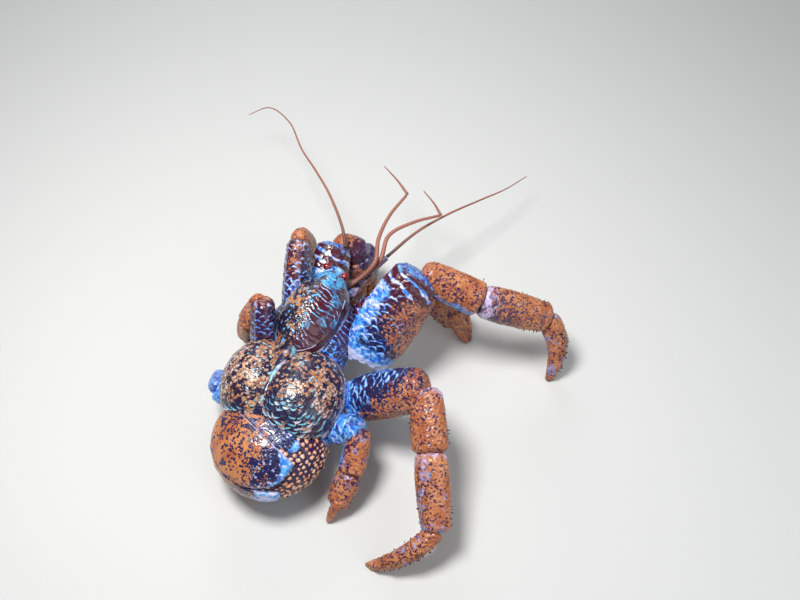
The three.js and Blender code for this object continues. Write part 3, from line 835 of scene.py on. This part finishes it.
def dress_heart_strip():
    skin = Skin("heart_strip_shell", ["heart_strip"], "heart strip")
    grain, gap, _ = granules(skin, "heart strip", 21)
    skin.push(RELIEF["heart strip granule"] * grain)
    azure = 0.5 * clouds(skin.points, 7, 5, 0.5, 0.7)
    ochre = 0.8 * clouds(skin.points, 4, 8, 0.5, 0.7) * (1 - gap)
    pale = 0.5 * clouds(skin.points, 5, 9, 0.5, 0.7)
    wine = 0.2
    raised = 0.6 + 0.4 * grain
    skin.finish("dome", ochre=ochre, wine=wine, azure=azure, pale=pale, raised=raised)


def dress_cheek(side):
    """A bright blue net low down and behind, and light-blue wrinkles higher up in front."""
    skin = Skin(f"cheek_{side}_shell", [f"cheek_{side}"], "cheek")
    x, y, z = on_carapace(skin.points).T
    warp = waver(skin.points, (6, 9, 1))
    near, after, own = pebbles(skin.points * (1, 0.62, 1), 3.0, 31)
    net = 1 - smooth(0.05, 0.2, after - near)
    low = np.clip(smooth(-22, -2, y + warp) + smooth(-3, -14, z + 0.5 * warp), 0, 1)
    ridge, crest = wrinkles(y + 0.5 * x + warp, WRINKLE_PITCH["cheek"])
    skin.push(RELIEF["cheek wrinkle"] * ridge * (1 - low) + RELIEF["cheek net"] * net * low)
    azure = net * low + 0.8 * crest * (1 - low)
    pale = 0.45 * net * low * own + 0.5 * crest * (1 - low)
    wine = 1 - low
    raised = np.maximum(net * low, 0.3 + 0.7 * ridge * (1 - low))
    skin.finish("cheek", wine=wine, azure=azure, pale=pale, raised=raised)


def dress_tergite(node):
    """An ochre plate with dark specks, denser towards its front and its right, and a blue lobe."""
    skin = Skin(f"{node}_shell", [node], "belly plate")
    x, y, z = around_belly(skin.points).T
    grain, gap, own = granules(skin, "belly plate", 41)
    front, rear, half_width = PLATES[node]
    angle = np.mod(np.degrees(np.arctan2(y, z)) + 90, 360) - 90
    share = (angle - front) / (rear - front)
    side = x / half_width
    patch = mottling(skin.points, (0.5, 7, 15), (0.6, 2.6, 16))
    density = 0.1 + 0.45 * smooth(1.0, 0.35, share + 0.25 * side)
    density += 0.4 * smooth(-0.1, -0.8, side)
    speck = specks(skin.points, 1.5, 43, density * (0.25 + 1.3 * patch), 0.14)
    if node in STRAIGHT_LOBES:
        lobe = smooth(*STRAIGHT_LOBES[node], side + 0.2 * (patch - 0.5))
    else:
        lobe = smooth(0.86, 0.97, np.hypot(side, (2 * share - 1) * 0.72))
        lobe *= smooth(-0.2, -0.5, side)
    arc = math.radians(rear - front) * PLATE_RADIUS
    _, crest = wrinkles(share * arc + 1.5 * (patch - 0.5), WRINKLE_PITCH["belly plate"])
    wrinkled = node == "tergite_2"
    margin = np.maximum(smooth(1.0, 0.3, (1 - share) * arc), smooth(1.0, 0.3, share * arc))
    skin.push(RELIEF["plate granule"] * grain)
    ochre = smooth(0.0, 0.16, patch - 0.36 * density - 0.1 - 0.3 * wrinkled)
    ochre *= (1 - 0.95 * speck) * (1 - lobe)
    wine = 0.4 * (1 - lobe) * smooth(-0.7, -0.3, side)
    blue = smooth(-0.25, -0.6, side)
    azure = lobe * (0.55 + 0.5 * (1 - gap)) + 0.45 * (own > 0.84) * blue
    azure += 0.6 * crest * wrinkled
    streaks = clouds(skin.points * (0.6, 0.6, 1.6), 3, 19, 0.4, 0.65)
    whiteness = 0.75 if node == "tergite_4" else 0.3
    pale = whiteness * lobe * streaks + 0.6 * blue * (own > 0.87)
    pale += 0.5 * crest * wrinkled
    pale += (0.5 if node in ("tergite_2", "tergite_3") else 0.15) * margin
    raised = 0.35 + 0.65 * grain
    skin.finish("tergite", ochre=ochre, wine=wine, azure=azure, pale=pale, raised=raised)


def warts(place):
    """Warts in staggered rows round the belly: how high each point stands, from 0 to 1, and its
    wart's own number."""
    direction = place / np.linalg.norm(place, axis=1)[:, None]
    chooser = np.random.default_rng(7)
    high, own = (np.zeros(len(place)) for _ in range(2))
    for row, lean in enumerate(WARTS["leans"]):
        count = int(WARTS["round half the middle"] * math.cos(math.radians(lean)))
        for place_in_row in range(2 * count):
            turn = math.radians((place_in_row + 0.5 * (row % 2)) * 180 / count)
            tilt = math.radians(lean + chooser.uniform(-WARTS["tilt"], WARTS["tilt"]))
            turn += chooser.uniform(-WARTS["turn"], WARTS["turn"])
            across, along = math.cos(tilt), math.sin(tilt)
            middle = np.array((across * math.cos(turn), along, across * math.sin(turn)))
            size = chooser.uniform(*WARTS["size"])
            apart = np.linalg.norm(direction - middle, axis=1) / size
            bump = np.sqrt(np.clip(1 - apart * apart, 0, 1))
            own = np.where(bump > high, chooser.uniform(), own)
            high = np.maximum(high, bump)
    return high, own


def dress_belly():
    """One skin over the soft belly and the core that carries the limbs."""
    skin = Skin("belly_skin", ["abdomen", "thorax"], "belly")
    place = around_belly(skin.points) / np.array(BELLY["half"])
    wart, own = warts(place)
    on_belly = smooth(1.35, 1.2, np.linalg.norm(place, axis=1))
    creases = drift(skin.points, 1.5, 3)
    skin.push(RELIEF["wart"] * wart * on_belly + RELIEF["belly crease"] * creases)
    ochre = smooth(0.3, 0.6, wart) * on_belly * (0.6 + 0.5 * own)
    wine = drift(skin.points, 9, 2)
    from_hip = np.full(len(skin.points), np.inf)
    for limb in LIMBS.values():
        apart = np.linalg.norm(skin.points - placed(limb["hip"]), axis=1)
        from_hip = np.minimum(from_hip, apart)
    hip = smooth(21, 12, from_hip + waver(skin.points, (5, 6, 5)))
    azure = hip * (0.4 + 0.6 * drift(skin.points, 5, 6))
    pale = hip * clouds(skin.points, 7, 8, 0.3, 0.7)
    raised = np.maximum(wart, np.maximum(hip, 0.3))
    skin.finish("belly", ochre=ochre, wine=wine, azure=azure, pale=pale, raised=raised)


# Limbs


class Segment:
    """One limb segment's skin, with where each point lies on it: t is 0 at its root and 1 at its
    end, up is 1 on top, and side is -1 at its inner edge and 1 at its outer edge."""

    def __init__(self, node, kind, root, end, half, thin, tip, seed):
        self.node, self.kind, self.seed = node, kind, seed
        self.thigh = kind in ("merus", "arm")
        self.thickness = min(half)
        self.small = self.thickness < SMALL_THICKNESS
        self.look = {**PLAIN_LOOK, **LOOKS.get(node, {})}
        self.skin = Skin(f"{node}_shell", [node], "small segment" if self.small else "segment")
        self.points = self.skin.points
        self.length = np.linalg.norm(end - root)
        along = unit(end - root)
        thin = unit(thin - along * (thin @ along))
        thin = thin if thin[2] > 0 else -thin
        outward = np.cross(along, thin)
        reach = tip - root if self.thigh else root - end
        outward = outward if outward @ reach > 0 else -outward
        place = self.points - root
        self.t = place @ along / self.length
        self.up = place @ thin / half[0]
        self.side = place @ outward / half[1]
        self.around = np.arctan2(self.side, self.up) * (half[0] + half[1]) / 2
        self.warp = waver(self.points, (3.2, 7, seed), (1.4, 2.5, seed + 1))
        self.patch = mottling(self.points, (0.5, 6, seed + 2), (0.5, 2.6, seed + 3))
        self.cloud = clouds(self.points, 3.4, seed + 6, 0.4, 0.6)
        self.cloudy = smooth(0.5, 0.7, self.patch)
        self.grain, self.gap, self.own = granules(self.skin, "segment", seed)
        self.granular = smooth(0.35, 0.6, self.field("ochre") + 0.1)
        pitch, width = SCALES["thigh" if self.thigh and not self.small else "limb"]
        along, across = self.t * self.length + self.warp, self.around + 0.6 * self.warp
        rows = scale_rows(along, across, pitch, width, bow=0.7 * pitch)
        self.high, self.edge, self.scale = rows

    def field(self, mark):
        """How much of a mark the look asks for at each point."""
        root, end, towards_edge, middle = (*self.look[mark], 0, 0)[:4]
        bell = middle * np.exp(-(((self.t - 0.5) / 0.2) ** 2))
        return root + (end - root) * np.clip(self.t, 0, 1) + towards_edge * self.side + bell

    def shape(self):
        """Raises scales and granules, thickens the rim of the end and pinches the root."""
        t = self.t
        rim = np.exp(-(((t - 0.945) / 0.022) ** 2)) if self.kind not in HORN_TIPS else 0
        pinch = smooth(0.14, 0.02, t) * smooth(-0.1, 0.02, t)
        self.skin.push(
            self.look["scales"] * self.high * (1 - 0.75 * self.granular)
            + self.look["grains"] * self.grain * self.granular
            + END_RIM * self.thickness * rim
            - ROOT_PINCH * self.thickness * pinch
        )

    def marks(self):
        """The ochre, wine, blue, pale and horn of the segment, from its look."""
        look, seed = self.look, self.seed
        t, up, side, patch, own = self.t, self.up, self.side, self.patch, self.own
        ochre = self.field("ochre") + 0.55 * (patch - 0.5) + 0.35 * (own - 0.5)
        ochre += look["edges"] * side**2
        amount = look["specks"] * (0.8 + 0.4 * up) * (0.2 + 1.6 * patch)
        speck = specks(self.points, 1.1, seed + 5, amount, 0.16)
        dashes = self.edge * smooth(0.25, 0.35, self.scale)
        inner = look["inner"] * smooth(-0.5, -0.9, side + 0.6 * (patch - 0.5))
        blot = look["blots"] * clouds(self.points, 4.5, seed + 8, 0.5, 0.7)
        blot = blot * smooth(-0.3, 0.3, up) * (0.25 + 0.75 * own)
        collar = look["collar"] * smooth(0.26, 0.04, t + 0.4 * (patch - 0.5))
        azure = np.clip(self.field("azure"), 0, 1)
        azure *= (dashes * 1.1 + 0.55 * self.cloudy) * (1 - 0.6 * self.granular)
        azure += look["flood"] * (0.5 + patch) + inner + 0.6 * blot
        pale = np.clip(self.field("pale"), 0, 1)
        pale *= (dashes + 0.5 * self.cloudy) * (1 - 0.5 * self.granular)
        pale += (0.6 * inner + 0.35 * blot) * self.cloud + collar * (0.45 + 0.5 * self.cloud)
        marks = {
            "ochre": smooth(0.36, 0.6, ochre) * (1 - 0.35 * self.gap) * (1 - 0.9 * speck),
            "wine": self.field("wine"),
            "azure": azure,
            "pale": pale,
            "raised": np.maximum(
                self.high * (1 - self.granular), 0.25 + self.grain * self.granular
            ),
        }
        if look["bands"]:
            self.band(marks)
        if self.thigh and not self.node.startswith("claw"):
            root = smooth(0.2, 0.1, t + 0.06 * (patch - 0.5))
            marks["pale"] = np.maximum(marks["pale"], 0.9 * root)
            marks["azure"] = np.maximum(marks["azure"], 0.9 * smooth(0.3, 0.15, t))
        if self.kind in HORN_TIPS:
            marks["horn"] = 0.95 * smooth(HORN_TIPS[self.kind], 1.02, t)
        return marks

    def band(self, marks):
        """Maroon bands between light-blue lines at the end, and a blue rim."""
        t, side, ragged = self.t, self.side, self.patch - 0.5
        banded = smooth(0, 0.05, t - self.look["bands"] + 0.06 * ragged) * smooth(0.8, 0.5, side)
        stripe = (t * self.length + 1.2 * self.warp + 0.3 * self.around) / BAND_PITCH
        width = 0.04 + 0.16 * drift(self.points, 5, self.seed + 7)
        line = smooth(width + 0.06, width, np.abs(stripe - np.round(stripe)))
        marks["ochre"] *= 1 - banded
        marks["wine"] += banded
        marks["azure"] += (0.8 * line - marks["azure"]) * banded
        marks["pale"] += (0.9 * line * self.cloudy + 0.2 * line - marks["pale"]) * banded
        rim = smooth(0.92, 0.97, t + 0.06 * ragged)
        marks["azure"] += (0.5 - marks["azure"]) * rim
        marks["pale"] += (0.12 + 0.2 * self.cloud - marks["pale"]) * rim

    def set_spines(self):
        """Spines along both edges, and on all but a dactyl only towards the end."""
        t = self.t
        where = smooth(0.1, 0.3, t) * smooth(1.0, 0.85, t) * smooth(0.4, 0.9, np.abs(self.side))
        if self.kind != "dactyl":
            where = where * smooth(0.4, 0.9, t)
        self.skin.read()
        size = SPINE["small"] if self.small else SPINE["large"]
        spines(self.skin, self.look["spines"], size, where + 1e-6, self.seed)


def dress_limb(limb, limb_number):
    """Dresses each segment of a limb, from its hip outwards."""
    parts = dict(LIMBS[limb])
    hip = placed(parts.pop("hip"))
    ends = [placed(end) for end, _ in parts.values()]
    roots = [hip, *ends]
    thin = unit(np.cross(ends[0] - hip, ends[-1] - hip))
    for i, (kind, (_, half)) in enumerate(parts.items()):
        seed = 100 + 10 * limb_number + i
        segment = Segment(f"{limb}_{kind}", kind, roots[i], ends[i], half, thin, ends[-1], seed)
        segment.shape()
        segment.skin.finish("thigh" if segment.thigh else "limb", **segment.marks())
        if segment.look["spines"]:
            segment.set_spines()


# Eyes, feelers and mouth


def route(points, steps):
    """Evenly numbered places along the smooth centripetal curve through some points."""
    points = [placed(p) for p in points]
    ends = [2 * points[0] - points[1], *points, 2 * points[-1] - points[-2]]
    made = []
    spans = len(points) - 1
    for i in range(steps + 1):
        share = i / steps * spans
        k = min(int(share), spans - 1)
        u = share - k
        p0, p1, p2, p3 = ends[k : k + 4]
        t1 = np.linalg.norm(p1 - p0) ** 0.5
        t2 = t1 + np.linalg.norm(p2 - p1) ** 0.5
        t3 = t2 + np.linalg.norm(p3 - p2) ** 0.5
        t = t1 + (t2 - t1) * u
        a1 = p0 + (p1 - p0) * t / t1
        a2 = p1 + (p2 - p1) * (t - t1) / (t2 - t1)
        a3 = p2 + (p3 - p2) * (t - t2) / (t3 - t2)
        b1 = a1 + (a2 - a1) * t / t2
        b2 = a2 + (a3 - a2) * (t - t1) / (t3 - t1)
        made.append(b1 + (b2 - b1) * (t - t1) / (t2 - t1))
    return made


def ringed_tube(name, line, radii):
    """A closed tube along a line, thinner towards its tip and pinched between its rings."""
    curve = bpy.data.curves.new(name, "CURVE")
    curve.dimensions = "3D"
    curve.bevel_depth = MM
    curve.bevel_resolution = 2
    curve.use_fill_caps = True
    spline = curve.splines.new("POLY")
    last = len(line) - 1
    spline.points.add(last)
    for i, place in enumerate(line):
        pinch = FEELER["pinch"] if i % FEELER["points per ring"] == 0 else 1.0
        radius = (radii[0] + (radii[1] - radii[0]) * (i / last)) * pinch
        if i in (0, last):
            radius *= FEELER["rounding"]
        spline.points[i].co = (*(place * MM), 1)
        spline.points[i].radius = radius
    holder = linked(f"{name}_curve", curve)
    graph = bpy.context.evaluated_depsgraph_get()
    mesh = bpy.data.meshes.new_from_object(holder.evaluated_get(graph))
    bpy.data.objects.remove(holder)
    bm = bmesh.new()
    bm.from_mesh(mesh)
    bmesh.ops.remove_doubles(bm, verts=bm.verts, dist=0.005 * MM)
    bmesh.ops.recalc_face_normals(bm, faces=bm.faces)
    bm.to_mesh(mesh)
    bm.free()
    return mesh


def dress_feeler(node, points):
    """A long feeler of many short rings, darker at its root: partly the feeler's own dark base,
    partly painted shadow.
    """
    kind = node.split("_")[-1]
    radii, ring = FEELER_KINDS[kind]
    stations = route(points, FEELER["stations"])
    length = sum(np.linalg.norm(b - a) for a, b in zip(stations, stations[1:]))
    line = route(points, FEELER["points per ring"] * int(length / ring))
    mesh = ringed_tube(node, line, radii)
    where = vectors(mesh.vertices, "co") / MM
    apart = np.linalg.norm(where[:, None, :] - np.array(stations)[None, :, :], axis=2)
    # A flagellum grows out of a stalk's tip, so it starts in the colour of the stalk's outer part.
    first = FEELER["flagellum start"] if kind == "flagellum" else 0.0
    along = first + (1 - first) * apart.argmin(axis=1) / FEELER["stations"]
    write_mark(mesh, "along", along)
    hand_over(linked(f"{node}_skin", mesh), [node], "feeler")


def dress_eye(side):
    Skin(f"eye_{side}_globe", [f"eye_{side}"], "eye").finish("eye")
    Skin(f"eyestalk_{side}_skin", [f"eyestalk_{side}"], "eyestalk").finish("stalk")


def dress_mouth_part(node, seed):
    """Granular shell, with blue and pale streaks on the feet of the antennae."""
    skin = Skin(f"{node}_shell", [node], "mouth part")
    grain, _, own = granules(skin, "mouth part", seed)
    skin.push(RELIEF["mouth granule"] * grain)
    blue = 1.0 if node.startswith("antenna") else 0.0
    patch = drift(skin.points, 5, seed)
    streak = drift(skin.points, 4 if blue else 6, seed + 1)
    ochre = smooth(0.35, 0.6, 0.7 * patch + 0.4 * own - 0.25 * blue)
    azure = 0.5 * smooth(0.6, 0.75, streak + 0.2 * blue)
    pale = 0.6 * blue * clouds(skin.points, 3, seed + 2, 0.5, 0.65)
    wine = 0.5
    raised = 0.3 + grain
    skin.finish("limb", ochre=ochre, wine=wine, azure=azure, pale=pale, raised=raised)


# The crab


def crab():
    dress_shield()
    dress_heart_strip()
    for side in ("right", "left"):
        dress_dome(side)
        dress_cheek(side)
        dress_eye(side)
    for plate in PLATES:
        dress_tergite(plate)
    dress_belly()
    for limb_number, limb in enumerate(LIMBS):
        dress_limb(limb, limb_number)
    for node, points in FEELERS.items():
        dress_feeler(node, points)
    for seed, node in enumerate(MOUTH_PARTS, start=300):
        dress_mouth_part(node, seed)


# Floor, light and camera


def floor():
    mesh = bpy.data.meshes.new("floor")
    bm = bmesh.new()
    bmesh.ops.create_grid(bm, x_segments=1, y_segments=1, size=FLOOR["half"])
    bm.to_mesh(mesh)
    bm.free()
    material, _, shader = new_material("pale floor")
    shader.inputs["Base Color"].default_value = FLOOR["colour"]
    shader.inputs["Roughness"].default_value = FLOOR["roughness"]
    mesh.materials.append(material)
    linked("floor", mesh)


def view_directions():
    """Which ways are right and up in the photograph."""
    return Vector(CAMERA["right"]).normalized(), Vector(CAMERA["up"]).normalized()


def camera():
    """The camera at the photograph's angle."""
    right, up = view_directions()
    back = right.cross(up)
    data = bpy.data.cameras.new("camera")
    data.lens = CAMERA["lens"]
    data.sensor_width = CAMERA["sensor"]
    data.clip_start = 0.01
    turn = Matrix((right, up, back)).transposed().to_4x4()
    scene.camera = linked("camera", data)
    scene.camera.matrix_world = Matrix.Translation(Vector(CAMERA["at"])) @ turn


def light(name, at, size, power, tint):
    """A soft round lamp that points at the crab."""
    lamp = bpy.data.lights.new(name, "AREA")
    lamp.shape = "DISK"
    lamp.size = size
    lamp.energy = power
    lamp.color = tint
    holder = linked(name, lamp)
    holder.location = at
    holder.rotation_euler = (Vector(LIT_POINT) - at).to_track_quat("-Z", "Y").to_euler()


def studio():
    """A pale floor, three soft lamps and a dim sky; the key and fill stand beside the camera."""
    floor()
    camera()
    at = Vector(CAMERA["at"])
    right, up = view_directions()
    light("key", at - 0.16 * right + 0.3 * up, 0.2, 4.6, (1, 1, 1))
    light("fill", at + 0.5 * right - 0.1 * up, 0.6, 1.6, (0.92, 0.95, 1))
    light("back", Vector((0.5, -0.7, 0.6)), 0.6, 2.6, (0.95, 0.97, 1))
    world = bpy.data.worlds.new("world")
    world.use_nodes = True
    sky = world.node_tree.nodes["Background"]
    sky.inputs["Color"].default_value = SKY["colour"]
    sky.inputs["Strength"].default_value = SKY["strength"]
    scene.world = world
    scene.view_settings.view_transform = "Standard"


crab()
studio()
